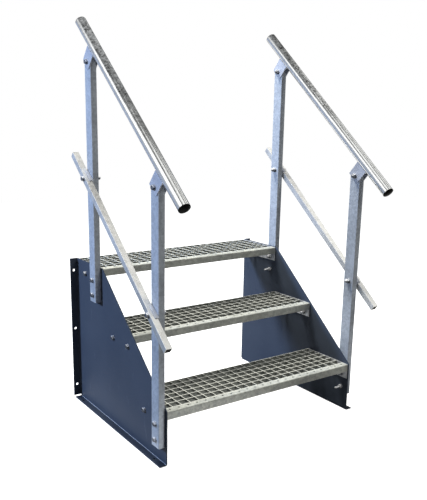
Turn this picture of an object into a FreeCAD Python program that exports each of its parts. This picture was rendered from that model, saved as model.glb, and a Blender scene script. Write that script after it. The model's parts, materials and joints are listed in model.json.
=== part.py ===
import FreeCAD, Part
import os

import Sketcher
from FreeCAD import Placement, Rotation, Vector

# A free-standing steel stair of three grating treads between two folded sheet stringers,
# with a pair of sloping handrails on rectangular posts.
# X runs across the stair, +Y points to the wall behind it and +Z is up. The origin lies on
# the floor, in the middle of the box that encloses the stair.

doc = FreeCAD.newDocument("stair")

SIZES = [
    ("clear_width", 880, "between the inner faces of the stringers"),
    ("tread_depth", 236, "front of the nosing to the rear bar"),
    ("run", 244, "step to step, level"),
    ("rise", 207, "step to step, upright"),
    ("first_rise", 202, "floor to the lowest tread"),
    ("wall_gap", 1, "rear bar of the upper tread to the wall"),
    ("sheet", 4, "stringer sheet"),
    ("stringer_margin", 4, "stringer in front of a nosing"),
    ("stringer_lip", 3, "stringer above the upper tread"),
    ("rear_flange", 31, "rear flange beyond the outer face"),
    ("floor_flange", 27, "floor flange beyond the outer face"),
    ("bend_radius", 3, "inside of the stringer's folds"),
    ("fold_relief", 8, "notch where the two folds meet"),
    ("wall_hole", 11, "bore in the rear flange"),
    ("wall_hole_top", 51, "upper wall hole below the top"),
    ("wall_hole_pitch", 255, "between wall holes"),
    ("floor_hole", 11, "bore in the floor flange"),
    ("floor_hole_inset", 60, "floor hole from the end of its flange"),
    ("bolt_bore", 11, "bores for the tread and post bolts"),
    ("bolt_setback", 32, "front tread bolt behind the nosing"),
    ("bolt_spacing", 120, "between the two bolts of a tread end"),
    ("bolt_drop", 48, "tread bolts below the tread's top"),
    ("bar_height", 30, "bearing bar"),
    ("bar_thickness", 3, "bearing bar"),
    ("cross_height", 10, "cross bar"),
    ("cross_thickness", 2.5, "cross bar"),
    ("cell_rows", 6, "openings from front to rear"),
    ("cell_columns", 23, "openings along the tread"),
    ("nosing_width", 27, "top of the nosing, front to rear"),
    ("nosing_height", 30, "front of the nosing"),
    ("nosing_sheet", 2.5, "nosing sheet"),
    ("nosing_radius", 2, "inside of the nosing's fold"),
    ("nosing_bore", 8, "perforations of the nosing"),
    ("end_plate_height", 62, "tread end plate"),
    ("end_plate_sheet", 3, "tread end plate"),
    ("slot_length", 22, "rear slot of the end plate"),
    ("post_depth", 50, "post, front to rear"),
    ("post_width", 25, "post, across the stair"),
    ("post_wall", 2, "wall of the post"),
    ("post_corner", 2.5, "outer corner of the post"),
    ("post_foot_drop", 136, "foot of the post below its tread"),
    ("post_bolt_pitch", 60, "between the two bolts of a post"),
    ("handrail_rise", 834, "handrail axis above the line of the nosings"),
    ("handrail_size", 42.4, "outside of the handrail"),
    ("handrail_wall", 2.6, "wall of the handrail"),
    ("handrail_upper", 95, "handrail past the rear post"),
    ("handrail_lower", 208, "handrail past the front post"),
    ("knee_rise", 325, "knee rail axis above the line of the nosings"),
    ("knee_size", 25, "outside of the square knee rail"),
    ("knee_wall", 2, "wall of the knee rail"),
    ("knee_corner", 2.5, "outer corner of the knee rail"),
    ("knee_upper", 131, "knee rail past the rear post"),
    ("knee_lower", 146, "knee rail past the front post"),
    ("bracket_length", 57, "handrail bracket along the rail"),
    ("bracket_depth", 56, "handrail bracket across the rail"),
    ("bracket_sheet", 3, "handrail bracket"),
    ("seat_clearance", 0.3, "handrail to its seat in the bracket"),
    ("bracket_corner", 3, "lower corners of the handrail bracket"),
    ("bracket_bolt_drop", 43, "bracket bolt below the bracket's top"),
    ("post_above_bolt", 18, "top of the post above its bracket bolt"),
    ("saddle_length", 52, "knee rail saddle along the rail"),
    ("saddle_reach", 12, "sides of the saddle over the knee rail"),
    ("saddle_sheet", 2.5, "knee rail saddle"),
    ("plug_rim", 2, "straight rim of the handrail plug"),
    ("plug_dome", 6, "dome of the handrail plug"),
    ("plug_stem", 18, "depth of a plug inside its tube"),
    ("plug_clearance", 0.2, "stem of the handrail plug to its tube"),
    ("plug_recess", 1, "knee rail plug behind the end of its tube"),
]

sheet = doc.addObject("Spreadsheet::Sheet", "sizes")
for row, (alias, size, note) in enumerate(SIZES, start=1):
    sheet.set("A%d" % row, note)
    sheet.set("B%d" % row, str(size))
    sheet.setAlias("B%d" % row, alias)
doc.recompute()

# Lengths and angles that follow from the driving sizes, each bound to them
layout = doc.addObject("App::VarSet", "layout")


def derive(name, expression):
    layout.addProperty("App::PropertyFloat", name, "layout")
    layout.setExpression(name, expression)


LEVELS = ("lower", "middle", "upper")
POST_LEVEL = {"front": "lower", "rear": "upper"}
SIDES = {"left": -1, "right": 1}
TREAD_BOLTS = {"front": "sizes.bolt_setback", "rear": "sizes.bolt_setback + sizes.bolt_spacing"}
WALL_HOLES = 3
ALONG_RAIL = "layout.pitch"
NEARLY_PARALLEL = 0.999
NEARLY_THERE = 0.01
PLUG_TILT = {"upper": "layout.pitch + 180", "lower": "layout.pitch"}

derive("slope", "sizes.rise / sizes.run")
derive("pitch", "atan(sizes.rise / sizes.run)")
derive("front_post_depth", "sizes.wall_gap + sizes.tread_depth + 2 * sizes.run - sizes.bolt_setback")
derive("rail_reach", "(sizes.handrail_lower + sizes.plug_rim) * cos(layout.pitch)"
                     " + sizes.handrail_size / 2 * sin(layout.pitch)")
derive("wall", "(layout.front_post_depth + layout.rail_reach) / 2")
derive("outer_face", "sizes.clear_width / 2 + sizes.sheet")
derive("post_x", "layout.outer_face + sizes.post_width / 2")
derive("knee_x", "layout.outer_face + sizes.post_width + sizes.saddle_sheet + sizes.knee_size / 2")
derive("stringer_height", "sizes.first_rise + 2 * sizes.rise + sizes.stringer_lip")
derive("top_edge", "sizes.wall_gap + sizes.tread_depth + sizes.stringer_margin")
derive("floor_edge", "layout.top_edge + 2 * sizes.run")
derive("front_edge", "layout.stringer_height - 2 * sizes.rise")
for step, level in enumerate(LEVELS):
    derive(level + "_front", "layout.wall - sizes.wall_gap - sizes.tread_depth - %d * sizes.run" % (2 - step))
    derive(level + "_top", "sizes.first_rise + %d * sizes.rise" % step)
derive("bracket_bolt_reach", "sizes.handrail_size / 2 + sizes.bracket_bolt_drop")
derive("bracket_middle", "-layout.bracket_bolt_reach * layout.slope")
for place_name, level in POST_LEVEL.items():
    nosing_line = "layout.%s_top + sizes.bolt_setback * layout.slope" % level
    derive(place_name + "_y", "layout.%s_front + sizes.bolt_setback" % level)
    derive(place_name + "_foot", "layout.%s_top - sizes.post_foot_drop" % level)
    derive(place_name + "_handrail", nosing_line + " + sizes.handrail_rise")
    derive(place_name + "_knee", nosing_line + " + sizes.knee_rise")
    derive(place_name + "_bracket_bolt",
           "layout.%s_handrail - layout.bracket_bolt_reach / cos(layout.pitch)" % place_name)
derive("post_distance", "2 * sizes.run / cos(layout.pitch)")
for rail in ("handrail", "knee"):
    derive(rail + "_length", "layout.post_distance + sizes.%s_upper + sizes.%s_lower" % (rail, rail))
    derive(rail + "_middle", "(layout.post_distance + sizes.%s_upper - sizes.%s_lower) / 2" % (rail, rail))
derive("wall_hole_out", "sizes.rear_flange / 2")
derive("floor_hole_out", "sizes.floor_flange / 2 + sizes.bend_radius / 2")
derive("grating_length", "sizes.clear_width - 2 * sizes.end_plate_sheet")
derive("bar_pitch", "(sizes.tread_depth - sizes.nosing_width - sizes.bar_thickness) / sizes.cell_rows")
derive("cross_pitch", "layout.grating_length / sizes.cell_columns")
doc.recompute()


def number(expression):
    """The present value of an expression, to draw a sketch near its final shape."""
    value = layout.evalExpression(expression)
    return float(getattr(value, "Value", value))


def signed(side, expression):
    return "%d * (%s)" % (side, expression)


def span(side, near, far):
    """The low and the high X of something between two distances from the middle."""
    return (near, far) if side > 0 else (signed(-1, far), signed(-1, near))


def new_body(label, x="0", y="0", z="0", tilt=None):
    """A body at a point, turned about its X axis by the expression for its tilt."""
    body = doc.addObject("PartDesign::Body", label)
    body.Label = label
    if tilt:
        body.Placement = Placement(Vector(), Rotation(Vector(1, 0, 0), number(tilt)))
        body.setExpression("Placement.Rotation.Angle", tilt)
    for axis, expression in zip("xyz", (x, y, z)):
        body.setExpression("Placement.Base." + axis, expression)
    return body


def new_sketch(body, role, name):
    sketch = body.newObject("Sketcher::SketchObject", name)
    plane = next(item for item in body.Origin.OriginFeatures if item.Role == role)
    sketch.AttachmentSupport = [(plane, "")]
    sketch.MapMode = "FlatFace"
    return sketch


def locate(sketch, geometry, vertex, point):
    """Bind one vertex of a sketch to a pair of expressions."""
    for kind, expression in zip(("DistanceX", "DistanceY"), point):
        index = sketch.addConstraint(
            Sketcher.Constraint(kind, -1, 1, geometry, vertex, number(expression)))
        sketch.setExpression("Constraints[%d]" % index, expression)


def draw_outline(sketch, points):
    """A closed outline of straight lines through the given points."""
    corners = [Vector(number(u), number(v), 0) for u, v in points]
    first = sketch.GeometryCount
    for index, corner in enumerate(corners):
        following = corners[(index + 1) % len(corners)]
        sketch.addGeometry(Part.LineSegment(corner, following))
    for index, point in enumerate(points):
        before = first + (index - 1) % len(points)
        sketch.addConstraint(Sketcher.Constraint("Coincident", before, 2, first + index, 1))
        locate(sketch, first + index, 1, point)


def draw_rectangle(sketch, across, along):
    half_across, half_along = "%s / 2" % across, "%s / 2" % along
    low_across, low_along = signed(-1, half_across), signed(-1, half_along)
    draw_outline(sketch, [(low_across, low_along), (half_across, low_along),
                          (half_across, half_along), (low_across, half_along)])


def draw_circle(sketch, diameter):
    circle = sketch.addGeometry(Part.Circle(Vector(), Vector(0, 0, 1), number(diameter) / 2))
    sketch.addConstraint(Sketcher.Constraint("Coincident", circle, 3, -1, 1))
    index = sketch.addConstraint(Sketcher.Constraint("Diameter", circle, number(diameter)))
    sketch.setExpression("Constraints[%d]" % index, diameter)


def pad(body, sketch, name, length, symmetric=False, reversed_side=False):
    feature = body.newObject("PartDesign::Pad", name)
    feature.Profile = sketch
    feature.SideType = "Symmetric" if symmetric else "One side"
    feature.Reversed = reversed_side
    feature.setExpression("Length", length)
    return feature


def block(body, name, x_span, y_span, z_span, kind="AdditiveBox"):
    """A box between pairs of expressions, added to the body or taken from it."""
    box = body.newObject("PartDesign::" + kind, name)
    for size, axis, (low, high) in zip(("Length", "Width", "Height"), "xyz", (x_span, y_span, z_span)):
        box.setExpression("Placement.Base." + axis, low)
        box.setExpression(size, "%s - (%s)" % (high, low))
    return box


TURN = {"x": Rotation(Vector(0, 1, 0), 90), "y": Rotation(Vector(1, 0, 0), -90), "z": Rotation()}


def hole(body, name, axis_name, start, length, diameter):
    """A round hole from a point in the direction of one axis."""
    cylinder = body.newObject("PartDesign::SubtractiveCylinder", name)
    cylinder.Placement = Placement(Vector(), TURN[axis_name])
    for axis, expression in zip("xyz", start):
        cylinder.setExpression("Placement.Base." + axis, expression)
    cylinder.setExpression("Radius", "(%s) / 2" % diameter)
    cylinder.setExpression("Height", length)
    return cylinder


def bore(body, name, x_span, y, z, diameter):
    """A round hole along X between two places."""
    return hole(body, name, "x", (x_span[0], y, z), "%s - (%s)" % (x_span[1], x_span[0]), diameter)


def pocket_through(body, sketch, name):
    """Cut a sketch out of the whole body, on both sides of its plane."""
    feature = body.newObject("PartDesign::Pocket", name)
    feature.Profile = sketch
    feature.Type = "ThroughAll"
    feature.SideType = "Symmetric"
    return feature


def repeat(body, feature, name, role, length, count):
    """Copies of a feature in a row; count is an expression."""
    pattern = body.newObject("PartDesign::LinearPattern", name)
    axis = next(item for item in body.Origin.OriginFeatures if item.Role == role)
    pattern.Originals = [feature]
    pattern.Direction = (axis, [""])
    pattern.setExpression("Length", length)
    pattern.setExpression("Occurrences", count)
    body.Tip = pattern
    return pattern


def along(axis_name, edge):
    """Whether a straight edge runs along one of the body's own axes."""
    if not isinstance(edge.Curve, Part.Line):
        return False
    axis = {"x": Vector(1, 0, 0), "y": Vector(0, 1, 0), "z": Vector(0, 0, 1)}[axis_name]
    return abs(edge.Curve.Direction.dot(axis)) > NEARLY_PARALLEL


def round_edges(body, name, axis_name, radius, **place):
    """Round the edges along one axis that pass through the given places."""
    doc.recompute()
    base = body.Tip
    wanted = {axis: number(expression) for axis, expression in place.items()}
    names = []
    for index, edge in enumerate(base.Shape.Edges, start=1):
        middle = edge.CenterOfMass
        near = all(abs(abs(getattr(middle, axis)) - abs(value)) < NEARLY_THERE
                   for axis, value in wanted.items())
        if near and along(axis_name, edge):
            names.append("Edge%d" % index)
    feature = body.newObject("PartDesign::Fillet", name)
    feature.Base = (base, names)
    feature.setExpression("Radius", radius)
    return feature


def make_stringer(side_name, side):
    """A sheet with its rear and floor edges folded outwards, seen from +X as (y, z)."""
    body = new_body("stringer_" + side_name, y="layout.wall")
    inner, outer = "sizes.clear_width / 2", "layout.outer_face"
    sketch = new_sketch(body, "YZ_Plane", "outline_" + side_name)
    sketch.setExpression("AttachmentOffset.Base.z", inner if side > 0 else signed(-1, outer))
    draw_outline(sketch, [
        ("0", "sizes.fold_relief"),
        ("0", "layout.stringer_height"),
        ("-layout.top_edge", "layout.stringer_height"),
        ("-layout.floor_edge", "layout.front_edge"),
        ("-layout.floor_edge", "0"),
        ("-sizes.fold_relief", "0"),
        ("-sizes.fold_relief", "sizes.fold_relief"),
    ])
    pad(body, sketch, "web_" + side_name, "sizes.sheet")
    rear_flange = span(side, outer, outer + " + sizes.rear_flange")
    floor_flange = span(side, outer, outer + " + sizes.floor_flange")
    block(body, "rear_flange_" + side_name, rear_flange,
          ("-sizes.sheet", "0"), ("sizes.fold_relief", "layout.stringer_height"))
    block(body, "floor_flange_" + side_name, floor_flange,
          ("-layout.floor_edge", "-sizes.fold_relief"), ("0", "sizes.sheet"))
    round_edges(body, "rear_fold_outside_" + side_name, "z", "sizes.bend_radius + sizes.sheet",
                x=inner, y="0")
    round_edges(body, "rear_fold_inside_" + side_name, "z", "sizes.bend_radius",
                x=outer, y="sizes.sheet")
    round_edges(body, "floor_fold_outside_" + side_name, "y", "sizes.bend_radius + sizes.sheet",
                x=inner, z="0")
    round_edges(body, "floor_fold_inside_" + side_name, "y", "sizes.bend_radius",
                x=outer, z="sizes.sheet")

    web = span(side, inner, outer)
    for level in LEVELS:
        for place_name, setback in TREAD_BOLTS.items():
            bore(body, "%s_%s_bore_%s" % (level, place_name, side_name), web,
                 "layout.%s_front + %s - layout.wall" % (level, setback),
                 "layout.%s_top - sizes.bolt_drop" % level, "sizes.bolt_bore")
    for place_name, level in POST_LEVEL.items():
        bore(body, "%s_foot_bore_%s" % (place_name, side_name), web,
             "layout.%s_y - layout.wall" % place_name,
             "layout.%s_top - sizes.bolt_drop - sizes.post_bolt_pitch" % level, "sizes.bolt_bore")
    for index in range(WALL_HOLES):
        hole(body, "wall_hole_%d_%s" % (index + 1, side_name), "y",
             (signed(side, "layout.outer_face + layout.wall_hole_out"), "-sizes.sheet",
              "layout.stringer_height - sizes.wall_hole_top - %d * sizes.wall_hole_pitch" % index),
             "sizes.sheet", "sizes.wall_hole")
    for end, y in (("front", "-layout.floor_edge + sizes.floor_hole_inset"),
                   ("rear", "-sizes.fold_relief - sizes.floor_hole_inset")):
        hole(body, "floor_hole_%s_%s" % (end, side_name), "z",
             (signed(side, "layout.outer_face + layout.floor_hole_out"), y, "0"),
             "sizes.sheet", "sizes.floor_hole")


def make_grating(level):
    """Upright bearing bars along the tread with cross bars flush in their top."""
    body = new_body("tread_%s_grating" % level, y="layout.%s_front" % level, z="layout.%s_top" % level)
    ends = ("-layout.grating_length / 2", "layout.grating_length / 2")
    bar = block(body, "bearing_bar_" + level, ends,
                ("sizes.nosing_width", "sizes.nosing_width + sizes.bar_thickness"),
                ("-sizes.bar_height", "0"))
    repeat(body, bar, "bearing_bars_" + level, "Y_Axis", "layout.bar_pitch * sizes.cell_rows",
           "sizes.cell_rows + 1")
    first_cross = "-layout.grating_length / 2 + layout.cross_pitch - sizes.cross_thickness / 2"
    cross = block(body, "cross_bar_" + level,
                  (first_cross, first_cross + " + sizes.cross_thickness"),
                  ("sizes.nosing_width", "sizes.tread_depth"), ("-sizes.cross_height", "0"))
    repeat(body, cross, "cross_bars_" + level, "X_Axis",
           "layout.cross_pitch * (sizes.cell_columns - 2)", "sizes.cell_columns - 1")


def make_nosing(level):
    """A folded strip, with a row of perforations that lines up with the openings."""
    body = new_body("tread_%s_nosing" % level, y="layout.%s_front" % level, z="layout.%s_top" % level)
    sketch = new_sketch(body, "YZ_Plane", "nosing_profile_" + level)
    draw_outline(sketch, [
        ("0", "0"),
        ("0", "-sizes.nosing_height"),
        ("sizes.nosing_sheet", "-sizes.nosing_height"),
        ("sizes.nosing_sheet", "-sizes.nosing_sheet"),
        ("sizes.nosing_width", "-sizes.nosing_sheet"),
        ("sizes.nosing_width", "0"),
    ])
    pad(body, sketch, "nosing_strip_" + level, "layout.grating_length", symmetric=True)
    round_edges(body, "nosing_fold_outside_" + level, "x", "sizes.nosing_radius + sizes.nosing_sheet",
                y="0", z="0")
    round_edges(body, "nosing_fold_inside_" + level, "x", "sizes.nosing_radius",
                y="sizes.nosing_sheet", z="sizes.nosing_sheet")
    perforation = hole(body, "perforation_" + level, "z",
                       ("(layout.cross_pitch - layout.grating_length) / 2",
                        "sizes.nosing_width / 2 + sizes.nosing_sheet", "-sizes.nosing_sheet"),
                       "sizes.nosing_sheet", "sizes.nosing_bore")
    repeat(body, perforation, "perforations_" + level, "X_Axis",
           "layout.cross_pitch * (sizes.cell_columns - 1)", "sizes.cell_columns")


def make_end_plate(level, side_name, side):
    """The plate that bolts a tread to its stringer: a round hole in front and a slot behind."""
    body = new_body("tread_%s_end_plate_%s" % (level, side_name),
                    y="layout.%s_front" % level, z="layout.%s_top" % level)
    sides = span(side, "layout.grating_length / 2", "sizes.clear_width / 2")
    tag = "%s_%s" % (level, side_name)
    block(body, "plate_" + tag, sides, ("0", "sizes.tread_depth"), ("-sizes.end_plate_height", "0"))
    bore(body, "plate_hole_" + tag, sides, "sizes.bolt_setback", "-sizes.bolt_drop", "sizes.bolt_bore")
    slot_middle = "sizes.bolt_setback + sizes.bolt_spacing"
    half_slot = "(sizes.slot_length - sizes.bolt_bore) / 2"
    for end, sign in (("front", "-"), ("rear", "+")):
        bore(body, "slot_%s_%s" % (end, tag), sides, slot_middle + sign + half_slot,
             "-sizes.bolt_drop", "sizes.bolt_bore")
    block(body, "slot_" + tag, sides,
          (slot_middle + "-" + half_slot, slot_middle + "+" + half_slot),
          ("-sizes.bolt_drop - sizes.bolt_bore / 2", "-sizes.bolt_drop + sizes.bolt_bore / 2"),
          kind="SubtractiveBox")


def make_post(place_name, side_name, side):
    """A rectangular tube, cut square a little above its bracket bolt."""
    tag = "%s_%s" % (place_name, side_name)
    foot = "layout.%s_foot" % place_name
    body = new_body("post_" + tag, signed(side, "layout.post_x"), "layout.%s_y" % place_name, foot)
    bracket_bolt = "layout.%s_bracket_bolt - %s" % (place_name, foot)
    section = new_sketch(body, "XY_Plane", "post_section_" + tag)
    draw_rectangle(section, "sizes.post_width", "sizes.post_depth")
    pad(body, section, "post_tube_" + tag, bracket_bolt + " + sizes.post_above_bolt")
    round_edges(body, "post_corners_" + tag, "z", "sizes.post_corner",
                x="sizes.post_width / 2", y="sizes.post_depth / 2")
    hollow = new_sketch(body, "XY_Plane", "post_hollow_" + tag)
    draw_rectangle(hollow, "(sizes.post_width - 2 * sizes.post_wall)",
                   "(sizes.post_depth - 2 * sizes.post_wall)")
    pocket_through(body, hollow, "post_bore_" + tag)
    across = ("-sizes.post_width / 2", "sizes.post_width / 2")
    lower_bolt = "sizes.post_foot_drop - sizes.bolt_drop - sizes.post_bolt_pitch"
    for index in range(2):
        bore(body, "post_bore_%d_%s" % (index + 1, tag), across, "0",
             "%s + %d * sizes.post_bolt_pitch" % (lower_bolt, index), "sizes.bolt_bore")
    bore(body, "post_knee_bore_" + tag, across, "0", "layout.%s_knee - %s" % (place_name, foot),
         "sizes.bolt_bore")
    bore(body, "post_bracket_bore_" + tag, across, "0", bracket_bolt, "sizes.bolt_bore")


def make_rail_bracket(place_name, side_name, side):
    """Two ears astride the post's top, square to the rail, with a web hollowed to seat the handrail."""
    tag = "%s_%s" % (place_name, side_name)
    body = new_body("rail_bracket_" + tag, signed(side, "layout.post_x"),
                    "layout.%s_y" % place_name, "layout.%s_handrail" % place_name, tilt=ALONG_RAIL)
    half_outside = "(sizes.post_width / 2 + sizes.bracket_sheet)"
    rail_bottom = "-sizes.handrail_size / 2"
    length = ("layout.bracket_middle - sizes.bracket_length / 2",
              "layout.bracket_middle + sizes.bracket_length / 2")
    block(body, "ears_" + tag, ("-" + half_outside, half_outside), length,
          (rail_bottom + " - sizes.bracket_depth", "0"))
    hole(body, "rail_seat_" + tag, "y", ("0", "layout.bracket_middle - sizes.bracket_length", "0"),
         "2 * sizes.bracket_length", "sizes.handrail_size + 2 * sizes.seat_clearance")
    block(body, "between_ears_" + tag, ("-sizes.post_width / 2", "sizes.post_width / 2"), length,
          (rail_bottom + " - sizes.bracket_depth", rail_bottom + " - sizes.bracket_sheet"),
          kind="SubtractiveBox")
    round_edges(body, "ear_corners_" + tag, "x", "sizes.bracket_corner",
                z=rail_bottom + " - sizes.bracket_depth")
    bore(body, "ear_bore_" + tag, ("-" + half_outside, half_outside), "layout.bracket_middle",
         "-layout.bracket_bolt_reach", "sizes.bolt_bore")


def rail_end(rail, end):
    """The (y, z) of one end of a rail's axis."""
    sign = "+" if end == "upper" else "-"
    reach = "(layout.%s_middle %s layout.%s_length / 2)" % (rail, sign, rail)
    return ("layout.front_y + %s * cos(layout.pitch)" % reach,
            "layout.front_%s + %s * sin(layout.pitch)" % (rail, reach))


def make_handrail(side_name, side):
    """A round tube that rests on the brackets."""
    body = new_body("handrail_" + side_name, signed(side, "layout.post_x"),
                    "layout.front_y", "layout.front_handrail", tilt=ALONG_RAIL)
    section = new_sketch(body, "XZ_Plane", "handrail_section_" + side_name)
    section.setExpression("AttachmentOffset.Base.z", "-layout.handrail_middle")
    draw_circle(section, "sizes.handrail_size")
    draw_circle(section, "sizes.handrail_size - 2 * sizes.handrail_wall")
    pad(body, section, "handrail_tube_" + side_name, "layout.handrail_length", symmetric=True)


def make_handrail_plug(end, side_name, side):
    """A domed plug turned about the rail's axis; it points to its own -Y, out of the tube."""
    tag = "%s_%s" % (end, side_name)
    body = new_body("handrail_cap_" + tag, signed(side, "layout.post_x"),
                    *rail_end("handrail", end), tilt=PLUG_TILT[end])
    profile = new_sketch(body, "YZ_Plane", "plug_profile_" + tag)
    rim_radius = "sizes.handrail_size / 2"
    stem_radius = "sizes.handrail_size / 2 - sizes.handrail_wall - sizes.plug_clearance"
    dome_end = "-sizes.plug_rim - sizes.plug_dome"
    corners = [(dome_end, "0"), ("sizes.plug_stem", "0"), ("sizes.plug_stem", stem_radius),
               ("0", stem_radius), ("0", rim_radius), ("-sizes.plug_rim", rim_radius)]
    points = [Vector(number(u), number(v), 0) for u, v in corners]
    lines = [profile.addGeometry(Part.LineSegment(start, finish))
             for start, finish in zip(points, points[1:])]
    for line, corner in zip(lines, corners):
        if line:
            profile.addConstraint(Sketcher.Constraint("Coincident", line - 1, 2, line, 1))
        locate(profile, line, 1, corner)
    locate(profile, lines[-1], 2, corners[-1])
    dome_height, dome_width = number("sizes.plug_dome"), number(rim_radius)
    dome_radius = (dome_width ** 2 + dome_height ** 2) / (2 * dome_height)
    centre = points[0] + Vector(dome_radius, 0, 0)
    halfway = (points[0] + points[-1] - centre * 2).normalize() * dome_radius
    dome = profile.addGeometry(Part.Arc(points[-1], centre + halfway, points[0]))
    profile.addConstraint(Sketcher.Constraint("Coincident", lines[-1], 2, dome, 1))
    profile.addConstraint(Sketcher.Constraint("Coincident", lines[0], 1, dome, 2))
    profile.addConstraint(Sketcher.Constraint("PointOnObject", dome, 3, -1))
    turned = body.newObject("PartDesign::Revolution", "plug_" + tag)
    turned.Profile = profile
    turned.ReferenceAxis = (profile, ["H_Axis"])
    turned.Angle = 360


def make_knee_rail(side_name, side):
    """A square tube outside the posts, bored for its two bolts."""
    body = new_body("knee_rail_" + side_name, signed(side, "layout.knee_x"),
                    "layout.front_y", "layout.front_knee", tilt=ALONG_RAIL)
    section = new_sketch(body, "XZ_Plane", "knee_section_" + side_name)
    section.setExpression("AttachmentOffset.Base.z", "-layout.knee_middle")
    draw_rectangle(section, "sizes.knee_size", "sizes.knee_size")
    pad(body, section, "knee_tube_" + side_name, "layout.knee_length", symmetric=True)
    round_edges(body, "knee_corners_" + side_name, "y", "sizes.knee_corner",
                x="sizes.knee_size / 2", z="sizes.knee_size / 2")
    hollow = new_sketch(body, "XZ_Plane", "knee_hollow_" + side_name)
    draw_rectangle(hollow, "(sizes.knee_size - 2 * sizes.knee_wall)",
                   "(sizes.knee_size - 2 * sizes.knee_wall)")
    pocket_through(body, hollow, "knee_bore_" + side_name)
    across = ("-sizes.knee_size / 2", "sizes.knee_size / 2")
    for place_name, y in (("front", "0"), ("rear", "layout.post_distance")):
        bore(body, "knee_bolt_bore_%s_%s" % (place_name, side_name), across, y, "0", "sizes.bolt_bore")


def make_knee_plug(end, side_name, side):
    """A square plug pressed into the tube; its face lies a little inside the tube's end."""
    tag = "%s_%s" % (end, side_name)
    body = new_body("knee_rail_plug_" + tag, signed(side, "layout.knee_x"),
                    *rail_end("knee", end), tilt=PLUG_TILT[end])
    half_inside = "(sizes.knee_size / 2 - sizes.knee_wall)"
    across = ("-" + half_inside, half_inside)
    block(body, "plug_block_" + tag, across, ("sizes.plug_recess", "sizes.plug_stem"), across)


def make_saddle(place_name, side_name, side):
    """A shallow channel between a post and the knee rail, with a side above and one below."""
    tag = "%s_%s" % (place_name, side_name)
    body = new_body("knee_rail_saddle_" + tag, y="layout.%s_y" % place_name,
                    z="layout.%s_knee" % place_name, tilt=ALONG_RAIL)
    face = "layout.outer_face + sizes.post_width"
    half_outside = "(sizes.knee_size / 2 + sizes.saddle_sheet)"
    length = ("-sizes.saddle_length / 2", "sizes.saddle_length / 2")
    block(body, "saddle_channel_" + tag,
          span(side, face, face + " + sizes.saddle_sheet + sizes.saddle_reach"), length,
          ("-" + half_outside, half_outside))
    block(body, "saddle_inside_" + tag,
          span(side, face + " + sizes.saddle_sheet", face + " + sizes.saddle_sheet + sizes.saddle_reach"),
          length, ("-sizes.knee_size / 2", "sizes.knee_size / 2"), kind="SubtractiveBox")
    bore(body, "saddle_bore_" + tag, span(side, face, face + " + sizes.saddle_sheet"), "0", "0",
         "sizes.bolt_bore")


for level in LEVELS:
    make_grating(level)
    make_nosing(level)
for side_name, side in SIDES.items():
    make_stringer(side_name, side)
    for level in LEVELS:
        make_end_plate(level, side_name, side)
    for place_name in POST_LEVEL:
        make_post(place_name, side_name, side)
        make_rail_bracket(place_name, side_name, side)
        make_saddle(place_name, side_name, side)
    make_handrail(side_name, side)
    make_knee_rail(side_name, side)
    for end in ("upper", "lower"):
        make_handrail_plug(end, side_name, side)
        make_knee_plug(end, side_name, side)
doc.recompute()

failed = [item.Name for item in doc.Objects if {"Invalid", "Error"} & set(item.State)]
bodies = [item for item in doc.Objects if item.TypeId == "PartDesign::Body"]
failed += [body.Name for body in bodies if body.Shape.isNull() or not body.Shape.isValid()]
if failed:
    raise RuntimeError("failed: " + ", ".join(failed))

os.makedirs("parts", exist_ok=True)
for body in bodies:
    body.Shape.exportStep("parts/%s.step" % body.Label)
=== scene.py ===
import json
import math

import bmesh
import bpy
from mathutils import Matrix, Vector


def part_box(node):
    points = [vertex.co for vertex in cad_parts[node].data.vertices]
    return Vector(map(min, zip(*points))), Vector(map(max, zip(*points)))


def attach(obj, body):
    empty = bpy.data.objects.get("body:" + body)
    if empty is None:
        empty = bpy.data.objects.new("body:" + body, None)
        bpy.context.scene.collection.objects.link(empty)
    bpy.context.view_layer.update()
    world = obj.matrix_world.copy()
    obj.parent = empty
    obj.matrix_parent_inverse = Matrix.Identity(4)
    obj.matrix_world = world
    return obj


# A free-standing steel stair in a white studio. Lengths are in metres, in the frame of the CAD
# model: X across the stair, +Y to the wall behind it, +Z up.

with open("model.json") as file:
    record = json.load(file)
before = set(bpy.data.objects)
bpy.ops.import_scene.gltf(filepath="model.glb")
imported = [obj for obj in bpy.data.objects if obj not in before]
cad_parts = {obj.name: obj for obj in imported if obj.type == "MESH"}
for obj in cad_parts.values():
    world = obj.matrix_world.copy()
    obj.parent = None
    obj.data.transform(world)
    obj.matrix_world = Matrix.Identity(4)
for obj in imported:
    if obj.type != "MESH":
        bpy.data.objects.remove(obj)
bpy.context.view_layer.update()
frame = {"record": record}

MM = 0.001
SIDES = {"left": -1, "right": 1}
LEVELS = ("lower", "middle", "upper")
POST_LEVEL = {"front": "lower", "rear": "upper"}

# Sizes of the CAD model that the fasteners and the fold line need
SHEET = 4 * MM
END_PLATE = 3 * MM
BOLT_SETBACK = 32 * MM
BOLT_SPACING = 120 * MM
BOLT_DROP = 48 * MM
POST_BOLT_PITCH = 60 * MM
POST_WIDTH = 25 * MM
HANDRAIL_RISE = 834 * MM
HANDRAIL_RADIUS = 21.2 * MM
KNEE_RISE = 325 * MM
KNEE_SIZE = 25 * MM
SADDLE_SHEET = 2.5 * MM
BRACKET_SHEET = 3 * MM
BRACKET_BOLT_DROP = 43 * MM

# Places read from the frame
FRONT = {level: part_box("tread_%s_nosing" % level)[0][1] for level in LEVELS}
TOP = {level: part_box("tread_%s_nosing" % level)[1][2] for level in LEVELS}
SLOPE = (TOP["upper"] - TOP["lower"]) / (FRONT["upper"] - FRONT["lower"])
PITCH = math.atan(SLOPE)
OUTER_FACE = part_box("post_front_right")[0][0]
INNER_FACE = OUTER_FACE - SHEET
POST_FACE = OUTER_FACE + POST_WIDTH


# Camera and stage

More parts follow.
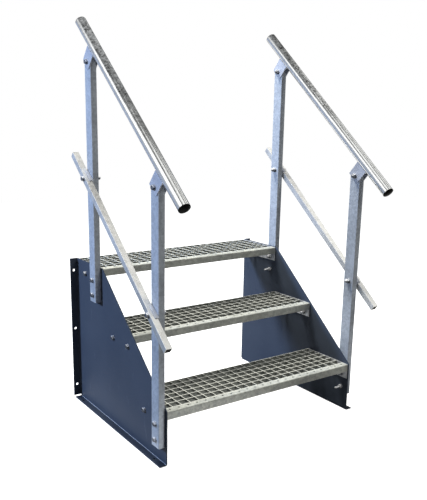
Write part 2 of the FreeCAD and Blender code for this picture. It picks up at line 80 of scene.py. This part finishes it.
def place_camera():
    """The camera of the photograph, solved from the stair's edges and corners."""
    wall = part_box("stringer_left")[1][1]
    yaw, pitch, roll = (math.radians(angle) for angle in (-33.098, -13.362, 0.541))
    focal_pixels, centre_x, centre_y = 675.25, 187.72, 275.16
    width, height = 427, 500
    eye = Vector((-1.5674, wall - 2.5784, 1.2070))
    forward = Vector((-math.sin(yaw) * math.cos(pitch), math.cos(yaw) * math.cos(pitch), math.sin(pitch)))
    level_right = forward.cross(Vector((0, 0, 1))).normalized()
    level_up = level_right.cross(forward)
    right = level_right * math.cos(roll) + level_up * math.sin(roll)
    up = level_up * math.cos(roll) - level_right * math.sin(roll)
    data = bpy.data.cameras.new("camera")
    data.sensor_fit = "VERTICAL"
    data.sensor_height = 36
    data.sensor_width = 36
    data.lens = focal_pixels * data.sensor_height / height
    data.shift_x = (width / 2 - centre_x) / height
    data.shift_y = (centre_y - height / 2) / height
    data.clip_end = 100
    camera = bpy.data.objects.new("camera", data)
    rows = Matrix((right, up, -forward)).transposed().to_4x4()
    camera.matrix_world = Matrix.Translation(eye) @ rows
    bpy.context.collection.objects.link(camera)
    bpy.context.scene.camera = camera


class Nodes:
    """A short way to build one node tree."""

    def __init__(self, tree, output_kind):
        self.tree = tree
        self.tree.nodes.clear()
        self.output = self.add(output_kind)

    def add(self, kind, links=None, **settings):
        node = self.tree.nodes.new(kind)
        for key, value in settings.items():
            setattr(node, key, value)
        for key, value in (links or {}).items():
            self.put(node, key, value)
        return node

    def put(self, node, key, value):
        socket = node.inputs[key]
        if isinstance(value, bpy.types.NodeSocket):
            self.tree.links.new(value, socket)
        else:
            socket.default_value = value

    def math(self, operation, first, second=0.0):
        return self.add("ShaderNodeMath", {0: first, 1: second}, operation=operation).outputs[0]

    def spread(self, value, low, high, to_low=0.0, to_high=1.0):
        """Map low to high onto to_low to to_high, and hold those ends beyond."""
        node = self.add("ShaderNodeMapRange", {"Value": value, "From Min": low, "From Max": high,
                                               "To Min": to_low, "To Max": to_high})
        return node.outputs["Result"]

    def near(self, value, centre, reach):
        """1 within reach of the centre, 0 beyond."""
        return self.add("ShaderNodeMath", {0: value, 1: centre, 2: reach}, operation="COMPARE").outputs[0]

    def mix(self, factor, first, second):
        """A blend of two colours, which the mix node keeps in its sockets 6 and 7."""
        node = self.add("ShaderNodeMix", data_type="RGBA")
        self.put(node, 0, factor)
        self.put(node, 6, first)
        self.put(node, 7, second)
        return node.outputs[2]

    def place(self, scale=(1, 1, 1), rotation=(0, 0, 0)):
        """Object coordinates, scaled and turned."""
        where = self.add("ShaderNodeTexCoord").outputs["Object"]
        node = self.add("ShaderNodeMapping", {"Vector": where, "Scale": scale, "Rotation": rotation})
        return node.outputs["Vector"]

    def noise(self, where, scale, detail=3.0, roughness=0.55):
        return self.add("ShaderNodeTexNoise", {"Vector": where, "Scale": scale, "Detail": detail,
                                               "Roughness": roughness}).outputs["Fac"]

    def cells(self, where, scale):
        """Two random tones for each cell of a cellular pattern."""
        node = self.add("ShaderNodeTexVoronoi", {"Vector": where, "Scale": scale}, feature="F1")
        return self.add("ShaderNodeSeparateColor", {0: node.outputs["Color"]}).outputs[:2]

    def facing(self, axis, kind="True Normal"):
        """How far the surface faces along an axis, from -1 to 1."""
        normal = self.add("ShaderNodeNewGeometry").outputs[kind]
        return self.add("ShaderNodeSeparateXYZ", {0: normal}).outputs[axis]

    def bump(self, height, distance, strength=1.0, normal=None):
        links = {"Height": height, "Distance": distance, "Strength": strength}
        if normal is not None:
            links["Normal"] = normal
        return self.add("ShaderNodeBump", links).outputs["Normal"]


class MaterialNodes(Nodes):
    """The node tree of a new material."""

    def __init__(self, name):
        self.material = bpy.data.materials.new(name)
        self.material.use_nodes = True
        super().__init__(self.material.node_tree, "ShaderNodeOutputMaterial")

    def finish(self, shader):
        self.put(self.output, "Surface", shader)
        return self.material


def background_mix(nodes, lit, shown):
    """One shader for the light on the object, another for what the camera and reflections see."""
    path = nodes.add("ShaderNodeLightPath").outputs
    seen = nodes.math("MAXIMUM", path["Is Camera Ray"], path["Is Glossy Ray"])
    seen = nodes.math("MAXIMUM", seen, path["Is Transmission Ray"])
    return nodes.add("ShaderNodeMixShader", {0: seen, 1: lit, 2: shown}).outputs[0]


def make_floor():
    """A white floor that keeps a faint shadow. Its glow is left out under the stringers, a painted
    shadow there, so that the holes in their flanges look dark."""
    nodes = MaterialNodes("studio_floor")
    lit = nodes.add("ShaderNodeBsdfDiffuse", {"Color": (0.13, 0.13, 0.13, 1)}).outputs[0]
    paper = nodes.add("ShaderNodeBsdfDiffuse", {"Color": (0.35, 0.35, 0.35, 1)}).outputs[0]
    place = nodes.add("ShaderNodeSeparateXYZ", {0: nodes.place()}).outputs
    low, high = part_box("stringer_right")
    inset = 4 * MM
    middle = [(near + far) / 2 for near, far in zip(low, high)]
    reach = [(far - near) / 2 - inset for near, far in zip(low, high)]
    # Painted shadow: no glow where the stringers cover the floor.
    covered = nodes.math("MULTIPLY", nodes.near(nodes.math("ABSOLUTE", place["X"]), middle[0], reach[0]),
                         nodes.near(place["Y"], middle[1], reach[1]))
    strength = nodes.spread(covered, 0.0, 1.0, 0.95, 0.0)
    glow = nodes.add("ShaderNodeEmission", {"Color": (1, 1, 1, 1), "Strength": strength}).outputs[0]
    shown = nodes.add("ShaderNodeAddShader", {0: paper, 1: glow}).outputs[0]
    half_size = 7.0
    depth = -0.5 * MM
    bm = bmesh.new()
    bm.faces.new([bm.verts.new((x, y, depth)) for x, y in
                  ((-half_size, -half_size), (half_size, -half_size),
                   (half_size, half_size), (-half_size, half_size))])
    mesh = bpy.data.meshes.new("studio_floor")
    bm.to_mesh(mesh)
    bm.free()
    floor = bpy.data.objects.new("studio_floor", mesh)
    floor.data.materials.append(nodes.finish(background_mix(nodes, lit, shown)))
    bpy.context.collection.objects.link(floor)


def make_surround():
    """A white surround that lights the stair only faintly."""
    world = bpy.data.worlds.new("studio")
    bpy.context.scene.world = world
    world.use_nodes = True
    nodes = Nodes(world.node_tree, "ShaderNodeOutputWorld")
    ambient = nodes.add("ShaderNodeBackground", {"Color": (0.93, 0.96, 1.0, 1), "Strength": 0.05})
    white = nodes.add("ShaderNodeBackground", {"Color": (1, 1, 1, 1), "Strength": 1.0})
    nodes.put(nodes.output, "Surface", background_mix(nodes, ambient.outputs[0], white.outputs[0]))


def add_area(name, place, target, size, power, colour):
    """A softbox aimed at the target; reflections see the cards in its stead."""
    data = bpy.data.lights.new(name, "AREA")
    data.shape = "RECTANGLE"
    data.size, data.size_y = size
    data.energy = power
    data.color = colour
    light = bpy.data.objects.new(name, data)
    aim = Vector(target) - Vector(place)
    light.visible_glossy = False
    light.matrix_world = Matrix.Translation(place) @ aim.to_track_quat("-Z", "Y").to_matrix().to_4x4()
    bpy.context.collection.objects.link(light)


def add_card(name, points, rows, shade):
    """A plain studio card that only reflections see: rows of points, from one edge to the other."""
    nodes = MaterialNodes(name)
    nodes.material.cycles.emission_sampling = "NONE"
    glow = nodes.add("ShaderNodeEmission", {"Color": (*shade, 1), "Strength": 1.0}).outputs[0]
    bm = bmesh.new()
    verts = [bm.verts.new(point) for point in points]
    per_row = len(verts) // rows
    for row in range(rows - 1):
        for index in range(per_row - 1):
            first = row * per_row + index
            second = first + per_row
            bm.faces.new((verts[first], verts[first + 1], verts[second + 1], verts[second]))
    mesh = bpy.data.meshes.new(name)
    bm.to_mesh(mesh)
    bm.free()
    mesh.materials.append(nodes.finish(glow))
    card = bpy.data.objects.new(name, mesh)
    bpy.context.collection.objects.link(card)
    card.visible_camera = False
    card.visible_diffuse = False
    card.visible_shadow = False
    card.visible_transmission = False


def add_strip(name, stations, shade, radius=3.2):
    """A card curved about a line through the stair that runs as steeply as its rails. Each
    station is a distance along that line and the angles of the card's two edges there, in
    degrees: 0 at the right, 90 above and 180 at the left."""
    centre = Vector((0, 0, 1.2))
    along = Vector((0, math.cos(PITCH), math.sin(PITCH)))
    upward = Vector((0, -math.sin(PITCH), math.cos(PITCH)))
    points = []
    rows = 9
    for row in range(rows):
        for distance, near, far in stations:
            angle = math.radians(near + (far - near) * row / (rows - 1))
            out = Vector((math.cos(angle), 0, 0)) + upward * math.sin(angle)
            points.append(centre + out * radius + along * distance)
    add_card(name, points, rows, shade)


def add_lights():
    """A cool key from the left rear, a warm lamp above, and weaker ones at the right and the front."""
    bpy.context.scene.view_settings.view_transform = "Standard"
    add_area("softbox_left", (-3.9, 2.0, 2.4), (0, 0.1, 0.7), (0.5, 0.5), 310, (0.55, 0.71, 1.0))
    add_area("softbox_top", (-0.3, 1.2, 4.2), (0, 0.0, 0.6), (1.2, 1.2), 500, (1.0, 0.98, 0.90))
    add_area("softbox_right", (3.8, 0.6, 1.9), (0, 0.0, 0.7), (1.6, 2.4), 40, (0.96, 0.98, 1.0))
    add_area("softbox_front", (0.9, -4.0, 3.0), (0, 0.0, 0.8), (1.6, 1.6), 82, (1.0, 0.98, 0.89))


def add_flat_card(name, low, high, shade):
    """A card that spans two corners: lying where they are equally high, else upright."""
    if low[2] == high[2]:
        points = [(low[0], low[1], low[2]), (high[0], low[1], low[2]),
                  (low[0], high[1], low[2]), (high[0], high[1], low[2])]
    else:
        points = [(low[0], low[1], low[2]), (high[0], high[1], low[2]),
                  (low[0], low[1], high[2]), (high[0], high[1], high[2])]
    add_card(name, points, 2, shade)


def add_cards():
    """What the zinc reflects: dark slats over the rails, a bright line beside them, dull cards
    at the left and in front, dark ones on the floor and a bright one for the bolts."""
    slats = (((-60, 12), (-60, 40)), ((36, 52), (40, 76)), ((70, 87), (76, 118)), ((118, 141), (118, 158)))
    narrow_end, wide_start, far = 2.0, 2.6, 8.0
    for index, (narrow, wide) in enumerate(slats):
        add_strip("studio_slat_low_%d" % (index + 1), [(-1.0, *narrow), (narrow_end, *narrow)],
                  (0.08, 0.08, 0.08))
        add_strip("studio_slat_high_%d" % (index + 1),
                  [(narrow_end, *narrow), (wide_start, *wide), (far, *wide)], (0.20, 0.205, 0.205))
    turning, top = 1.3, 3.35
    add_strip("studio_glow", [(-1.0, 143, 182), (turning, 143, 182), (wide_start, 160, 188),
                              (top, 160, 188)], (1.8, 1.8, 1.8))
    add_strip("studio_glow_low", [(-1.0, 0, 143), (2.8, 0, 158)], (1.25, 1.25, 1.22), 3.3)
    add_strip("studio_card_top", [(top, -4, 214), (far, -4, 214)], (0.50, 0.51, 0.52), 3.1)
    add_strip("studio_card_side", [(-1.0, 182, 212), (turning, 182, 212), (wide_start, 188, 212),
                                   (far, 188, 212)], (0.50, 0.54, 0.60))
    add_strip("studio_card_left", [(0.5, 212, 256), (7.0, 212, 256)], (0.42, 0.50, 0.68))
    floor = 2 * MM
    for name, near, out in (("left", -6, -0.55), ("right", 0.2, 0.75)):
        add_flat_card("studio_card_under_" + name, (near, -1, floor), (out, 7, floor), (0.07, 0.08, 0.10))
    add_flat_card("studio_card_front", (-1, -5, 0), (7, -5, 3.5), (0.46, 0.46, 0.44))
    add_card("studio_card_front_low", [(-1, -5, floor), (7, -5, floor), (-0.4, -0.75, floor),
                                       (7, -0.75, floor)], 2, (0.14, 0.14, 0.13))
    add_flat_card("studio_card_key", (-3.6, 0.0, 0.8), (-3.6, 2.6, 3.1), (3.2, 3.2, 3.2))


# Materials

ALONG_RAILS = (-PITCH, 0, 0)


def zinc_material(name, dark, light, metallic, smooth, rough, spangle=60.0, rotation=(0, 0, 0),
                  stretch=(1, 1, 1), contrast=1.0, dents=0.15, grain_share=0.5, edge=0.7, top_highlight=None,
                  top_highlight_from=(0.6, 0.9), cloudy=0.4, calm=None, round_bar=False):
    """Hot-dip zinc: crystals of several greys, cloudy patches, fine grain and worn edges.

    smooth and rough are the roughness of the glossiest and the dullest crystals, and spangle is
    the scale of their pattern. dents and edge are in millimetres. The colour given for what faces
    up is a painted highlight, and the pair after it says how far a face must turn up to take it.
    calm is two places along a rail: below the first the crystals are faint and the colour is
    lighter, partly smoother zinc and partly painted light, and above the second they are full. On
    a round_bar they are also faint and lighter at the left.
    """
    nodes = MaterialNodes(name)
    where = nodes.place(stretch, rotation)
    crystal_share, small_share, grain_reach = 0.38, 0.22, 0.07
    small_spangle, cloud_scale, grain_scale, dent_scale = spangle * 2.7, 9.0, 420.0, 70.0
    tone, gloss_tone = nodes.cells(where, spangle)
    small_tone = nodes.cells(where, small_spangle)[1]
    clouds = nodes.noise(where, cloud_scale, 4.0, 0.6)
    grain = nodes.noise(nodes.place(), grain_scale, 3.0, 0.6)
    shade = nodes.math("MULTIPLY", tone, crystal_share)
    shade = nodes.math("ADD", shade, nodes.math("MULTIPLY", small_tone, small_share))
    shade = nodes.math("ADD", shade, nodes.spread(clouds, 0.3, 0.7, 0.0, cloudy))
    shade = nodes.math("ADD", shade, nodes.spread(grain, 0.3, 0.7, -grain_reach, grain_reach))
    middle = (crystal_share + small_share + cloudy) / 2
    shade = nodes.spread(shade, middle - 0.5 / contrast, middle + 0.5 / contrast)
    if calm:
        # Towards the low end of a rail the crystals fade and the colour turns lighter: partly smoother zinc,
        # partly painted light. On a round bar the left-facing side fades and lightens as well.
        least, calm_shade = 0.15, 0.75
        along = nodes.add("ShaderNodeSeparateXYZ", {0: where}).outputs["Y"]
        lively = nodes.spread(along, *calm, least, 1.0)
        if round_bar:
            side_share = nodes.spread(nodes.facing("X", "Normal"), -0.85, -0.70, 0.25, 1.0)
            lively = nodes.math("MULTIPLY", lively, side_share)
        shade = nodes.math("ADD", nodes.math("MULTIPLY", shade, lively),
                           nodes.spread(lively, least, 1.0, calm_shade, 0.0))
    colour = nodes.mix(shade, (*dark, 1), (*light, 1))
    # Painted highlight: what faces up is blended towards the given pale colour.
    if top_highlight:
        top_highlight_share = nodes.spread(nodes.facing("Z"), *top_highlight_from, 0.0, 0.85)
        colour = nodes.mix(top_highlight_share, colour, (*top_highlight, 1))
    if edge:
        normal = nodes.add("ShaderNodeBevel", {"Radius": edge * MM}, samples=4).outputs[0]
    else:
        normal = nodes.add("ShaderNodeNewGeometry").outputs["Normal"]
    roughness = nodes.math("ADD", nodes.spread(gloss_tone, 0.0, 1.0, smooth, rough),
                           nodes.spread(clouds, 0.3, 0.7, -0.04, 0.06))
    relief = nodes.math("ADD", nodes.math("MULTIPLY", grain, grain_share),
                        nodes.math("MULTIPLY", nodes.noise(where, dent_scale, 2.0), 0.9))
    normal = nodes.bump(relief, dents * MM, 0.6, normal)
    return nodes.finish(nodes.add("ShaderNodeBsdfPrincipled", {
        "Base Color": colour, "Metallic": metallic, "Roughness": roughness,
        "Normal": normal}).outputs[0])


def fold_line(nodes, where):
    """A mask for the painted highlight in the hollow of the fold between a stringer's web and its floor
    flange.
    """
    place = nodes.add("ShaderNodeSeparateXYZ", {0: where}).outputs
    out = nodes.math("ABSOLUTE", place["X"])
    line_out, line_reach, line_height = 1.2 * MM, 0.7 * MM, 4 * MM
    across = nodes.near(out, OUTER_FACE + line_out, line_reach)
    low = nodes.math("LESS_THAN", place["Z"], SHEET + line_height)
    return nodes.math("MULTIPLY", across, low)


def powder_material(name, colour, lighter):
    """Dark powder coat: orange-peel relief, slow tone changes and faint dusty scuffs. Its fold
    carries a pale painted highlight, and it has painted shade where it faces up."""
    nodes = MaterialNodes(name)
    dusty, fold_highlight_tone, top_shade_tone = (0.22, 0.25, 0.30, 1), (0.34, 0.37, 0.44, 1), (0.004, 0.006, 0.012, 1)
    where = nodes.place()
    clouds = nodes.noise(where, 3.5, 3.0)
    dust = nodes.noise(nodes.place((1, 1, 0.25)), 38.0, 5.0, 0.7)
    tone = nodes.mix(nodes.spread(clouds, 0.3, 0.7), (*colour, 1), (*lighter, 1))
    tone = nodes.mix(nodes.spread(dust, 0.62, 0.80, 0.0, 0.16), tone, dusty)
    # Painted highlight: the hollow of the fold is lightened, broken up by the dust noise.
    fold_highlight = nodes.math("MULTIPLY", fold_line(nodes, where), nodes.spread(dust, 0.3, 0.7, 0.5, 0.9))
    tone = nodes.mix(fold_highlight, tone, fold_highlight_tone)
    # Painted shade: what faces up is darkened towards near-black, except on the fold's highlight.
    upward = nodes.spread(nodes.facing("Z"), 0.6, 0.9, 0.0, 0.5)
    tone = nodes.mix(nodes.math("MULTIPLY", upward, nodes.math("SUBTRACT", 1.0, fold_highlight)), tone, top_shade_tone)
    peel = nodes.noise(where, 620.0, 2.0, 0.5)
    bevel = nodes.add("ShaderNodeBevel", {"Radius": 0.9 * MM}, samples=4).outputs[0]
    normal = nodes.bump(peel, 0.05 * MM, 0.5, bevel)
    roughness = nodes.math("ADD", nodes.spread(clouds, 0.3, 0.7, 0.40, 0.48),
                           nodes.spread(peel, 0.3, 0.7, -0.03, 0.05))
    return nodes.finish(nodes.add("ShaderNodeBsdfPrincipled", {
        "Base Color": tone, "Roughness": roughness, "Specular IOR Level": 0.04,
        "Normal": normal}).outputs[0])


def plastic_material(name, colour):
    """Black moulded plastic with a fine matt grain."""
    nodes = MaterialNodes(name)
    where = nodes.place()
    grain = nodes.noise(where, 900.0, 3.0, 0.6)
    haze = nodes.noise(where, 40.0, 3.0, 0.6)
    pale = tuple(part * 2.4 for part in colour)
    tone = nodes.mix(nodes.spread(haze, 0.35, 0.7), (*colour, 1), (*pale, 1))
    roughness = nodes.spread(grain, 0.3, 0.7, 0.38, 0.55)
    return nodes.finish(nodes.add("ShaderNodeBsdfPrincipled", {
        "Base Color": tone, "Roughness": roughness, "Specular IOR Level": 0.04,
        "Normal": nodes.bump(grain, 0.04 * MM, 0.5)}).outputs[0])


def make_materials():
    """The material of each slot, and the one of the fasteners."""
    post = zinc_material("zinc_post", (0.23, 0.255, 0.30), (0.45, 0.49, 0.56), metallic=0.25,
                         smooth=0.32, rough=0.38, spangle=110, contrast=1.1, dents=0.04,
                         grain_share=0.2, cloudy=0.3)
    rail = zinc_material("zinc_handrail", (0.06, 0.06, 0.06), (0.90, 0.91, 0.91), metallic=0.98,
                         smooth=0.18, rough=0.20, spangle=125, rotation=ALONG_RAILS, contrast=1.9,
                         dents=0.03, grain_share=0.1, edge=0, cloudy=0.15, calm=(0.50, 0.80),
                         round_bar=True)
    knee = zinc_material("zinc_knee_rail", (0.32, 0.32, 0.33), (0.74, 0.74, 0.73), metallic=0.60,
                         smooth=0.20, rough=0.26, spangle=90, rotation=ALONG_RAILS,
                         stretch=(1, 0.8, 1), contrast=0.9, dents=0.05, grain_share=0.2,
                         calm=(0.0, 0.7))
    bracket = zinc_material("zinc_bracket", (0.32, 0.34, 0.40), (0.46, 0.49, 0.57), metallic=0.3,
                            smooth=0.32, rough=0.40, spangle=80, contrast=1.2, dents=0.06)
    # The grating's bar tops get a pale painted highlight.
    grating = zinc_material("zinc_grating", (0.13, 0.14, 0.135), (0.30, 0.31, 0.29), metallic=0.45,
                            smooth=0.34, rough=0.5, spangle=90, top_highlight=(0.78, 0.79, 0.75))
    nosing = zinc_material("zinc_nosing", (0.24, 0.25, 0.24), (0.46, 0.47, 0.44), metallic=0.35,
                           smooth=0.36, rough=0.52, spangle=80, contrast=1.4)
    plate = zinc_material("zinc_end_plate", (0.28, 0.29, 0.30), (0.46, 0.47, 0.49), metallic=0.35,
                          smooth=0.36, rough=0.52, spangle=80)
    # The fasteners are dark, with a painted highlight on what faces up.
    fastener = zinc_material("zinc_fastener", (0.05, 0.055, 0.065), (0.22, 0.23, 0.25),
                             metallic=0.6, smooth=0.20, rough=0.30, spangle=400, dents=0.05,
                             top_highlight=(0.95, 0.96, 1.0), top_highlight_from=(0.05, 0.45))
    cap = plastic_material("black_plastic", (0.002, 0.002, 0.002))
    coat = powder_material("powder_coat", (0.041, 0.051, 0.073), (0.052, 0.063, 0.087))
    slots = {"grating": grating, "nosing": nosing, "end_plate": plate, "stringer": coat,
             "handrail": rail, "knee_rail": knee, "post": post, "rail_bracket": bracket,
             "knee_rail_saddle": bracket, "handrail_cap": cap, "knee_rail_plug": cap}
    return slots, fastener


def dress_nodes(materials):
    """Give each CAD node the material of its slot."""
    slots = {part["node"]: part["material_slot"] for part in frame["record"]["subparts"]}
    for node, slot in slots.items():
        obj = bpy.data.objects[node]
        if not obj.material_slots:
            obj.data.materials.append(materials[slot])
        for holder in obj.material_slots:
            holder.material = materials[slot]


# Fasteners

HEAD_ACROSS = 16 * MM
HEAD_HEIGHT = 6.4 * MM
NUT_HEIGHT = 8.4 * MM
WASHER_RADIUS = 10 * MM
WASHER_THICKNESS = 2 * MM
WASHER_SEGMENTS = 32
SHANK_RADIUS = 5 * MM
THREAD_PITCH = 1.5 * MM
THREAD_DEPTH = 0.7 * MM


def add_lathe(bm, profile, segments=24):
    """A surface turned about the X axis through (x, radius) points; the ends are closed."""
    rings = []
    for x, radius in profile:
        turns = [math.tau * index / segments for index in range(segments)]
        rings.append([bm.verts.new((x, radius * math.cos(turn), radius * math.sin(turn))) for turn in turns])
    for low, high in zip(rings, rings[1:]):
        for index in range(segments):
            following = (index + 1) % segments
            bm.faces.new((low[index], low[following], high[following], high[index]))
    bm.faces.new(list(reversed(rings[0])))
    bm.faces.new(rings[-1])


def add_hexagon(bm, start, finish, across, chamfer):
    """A hexagonal prism along X, chamfered to a circle at the given ends."""
    corner = across / 2 / math.cos(math.pi / 6)
    flats = 6
    per_side = 4
    count = flats * per_side

    def ring(x, reach):
        points = []
        for index in range(count):
            turn = math.tau * index / count
            offset = (turn + math.pi / flats) % (math.tau / flats) - math.pi / flats
            radius = min(across / 2 / math.cos(offset), reach)
            points.append(bm.verts.new((x, radius * math.cos(turn), radius * math.sin(turn))))
        return points

    drop = (corner - across / 2) * 0.9
    crown = across / 2 * 0.96
    rings = []
    if chamfer[0]:
        rings += [ring(start, crown), ring(start + drop, corner)]
    else:
        rings.append(ring(start, corner))
    if chamfer[1]:
        rings += [ring(finish - drop, corner), ring(finish, crown)]
    else:
        rings.append(ring(finish, corner))
    for low, high in zip(rings, rings[1:]):
        for index in range(count):
            following = (index + 1) % count
            bm.faces.new((low[index], low[following], high[following], high[index]))
    bm.faces.new(list(reversed(rings[0])))
    bm.faces.new(rings[-1])


def thread_profile(start, finish):
    """Ridges between the rounded point, at finish, and start."""
    point_length, point_radius = 0.4 * MM, SHANK_RADIUS * 0.72
    profile = [(finish - point_length, point_radius)]
    x = finish
    while x < start:
        profile.append((x, SHANK_RADIUS - THREAD_DEPTH))
        profile.append((x + THREAD_PITCH / 2, SHANK_RADIUS))
        x += THREAD_PITCH
    profile.append((start, SHANK_RADIUS - THREAD_DEPTH))
    return profile


def finish_piece(name, bm, matrix, material):
    """Turn a mesh under way into a piece that rides on the stair's one body."""
    bmesh.ops.recalc_face_normals(bm, faces=bm.faces)
    bm.transform(matrix)
    mesh = bpy.data.meshes.new(name)
    bm.to_mesh(mesh)
    bm.free()
    mesh.materials.append(material)
    piece = bpy.data.objects.new(name, mesh)
    bpy.context.collection.objects.link(piece)
    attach(piece, "root")


def washer_profile(start):
    """A flat washer with eased edges."""
    lip = 0.25 * MM
    return [(start, WASHER_RADIUS - lip), (start + lip, WASHER_RADIUS),
            (start + WASHER_THICKNESS - lip, WASHER_RADIUS), (start + WASHER_THICKNESS, WASHER_RADIUS - lip)]


def add_fastener(name, side, face, y, z, grip, spare, material, dome=False, turn=0.0):
    """A hexagon bolt whose head stands on a face, with washers and a nut behind the grip."""
    flip = Matrix.Rotation(0 if side > 0 else math.pi, 4, "Z")
    place = Matrix.Translation((side * face, y, z)) @ flip @ Matrix.Rotation(turn, 4, "X")
    bolt = bmesh.new()
    add_hexagon(bolt, WASHER_THICKNESS, WASHER_THICKNESS + HEAD_HEIGHT, HEAD_ACROSS, (False, True))
    nut_start = -grip - WASHER_THICKNESS - NUT_HEIGHT
    end = nut_start - spare
    add_lathe(bolt, [(-grip, SHANK_RADIUS), (WASHER_THICKNESS, SHANK_RADIUS)])
    add_lathe(bolt, thread_profile(-grip, end))
    finish_piece("bolt_" + name, bolt, place, material)
    washers = bmesh.new()
    for start in (0, -grip - WASHER_THICKNESS):
        add_lathe(washers, washer_profile(start), WASHER_SEGMENTS)
    finish_piece("washers_" + name, washers, place, material)
    nut = bmesh.new()
    add_hexagon(nut, nut_start, nut_start + NUT_HEIGHT, HEAD_ACROSS, (True, False))
    if dome:
        radius = HEAD_ACROSS / 2 * 0.95
        rim = 1 * MM
        least = 0.2 * MM
        steps = 8
        arc = [math.pi / 2 * step / steps for step in range(steps + 1)]
        profile = [(nut_start - radius * math.cos(angle) - rim, max(radius * math.sin(angle), least))
                   for angle in arc]
        add_lathe(nut, profile + [(nut_start + rim, radius)])
    finish_piece("nut_" + name, nut, place, material)


def add_fasteners(material):
    """The bolts of the treads, post feet, knee rails and handrail brackets, on both sides."""
    number = 0
    step, hexagon_repeat = 37, 60

    def turn():
        """A different turn for each bolt, as hands leave them."""
        nonlocal number
        number += 1
        return math.radians(number * step % hexagon_repeat)

    short_thread, long_thread = 6 * MM, 24 * MM
    dome_thread, bracket_thread = 0.5 * MM, 5 * MM
    for side_name, side in SIDES.items():
        for level in LEVELS:
            z = TOP[level] - BOLT_DROP
            for place_name, setback in (("front", BOLT_SETBACK), ("rear", BOLT_SETBACK + BOLT_SPACING)):
                through_post = place_name == "front" and level in POST_LEVEL.values()
                face = POST_FACE if through_post else OUTER_FACE
                grip = face - INNER_FACE + END_PLATE
                add_fastener("tread_%s_%s_%s" % (level, place_name, side_name), side, face,
                             FRONT[level] + setback, z, grip, short_thread, material, turn=turn())
        for place_name, level in POST_LEVEL.items():
            y = FRONT[level] + BOLT_SETBACK
            tag = "%s_%s" % (place_name, side_name)
            spare = short_thread if tag == "front_left" else long_thread
            add_fastener("foot_" + tag, side, POST_FACE, y, TOP[level] - BOLT_DROP - POST_BOLT_PITCH,
                         POST_FACE - INNER_FACE, spare, material, turn=turn())
            axis_z = TOP[level] + BOLT_SETBACK * SLOPE
            knee_face = POST_FACE + SADDLE_SHEET + KNEE_SIZE
            add_fastener("knee_" + tag, side, knee_face, y, axis_z + KNEE_RISE,
                         knee_face - OUTER_FACE, dome_thread, material, dome=True, turn=turn())
            bracket_z = axis_z + HANDRAIL_RISE - (HANDRAIL_RADIUS + BRACKET_BOLT_DROP) / math.cos(PITCH)
            add_fastener("bracket_" + tag, side, POST_FACE + BRACKET_SHEET, y, bracket_z,
                         POST_WIDTH + 2 * BRACKET_SHEET, bracket_thread, material, turn=turn())


place_camera()
make_floor()
make_surround()
add_lights()
add_cards()
materials, fastener_material = make_materials()
dress_nodes(materials)
add_fasteners(fastener_material)
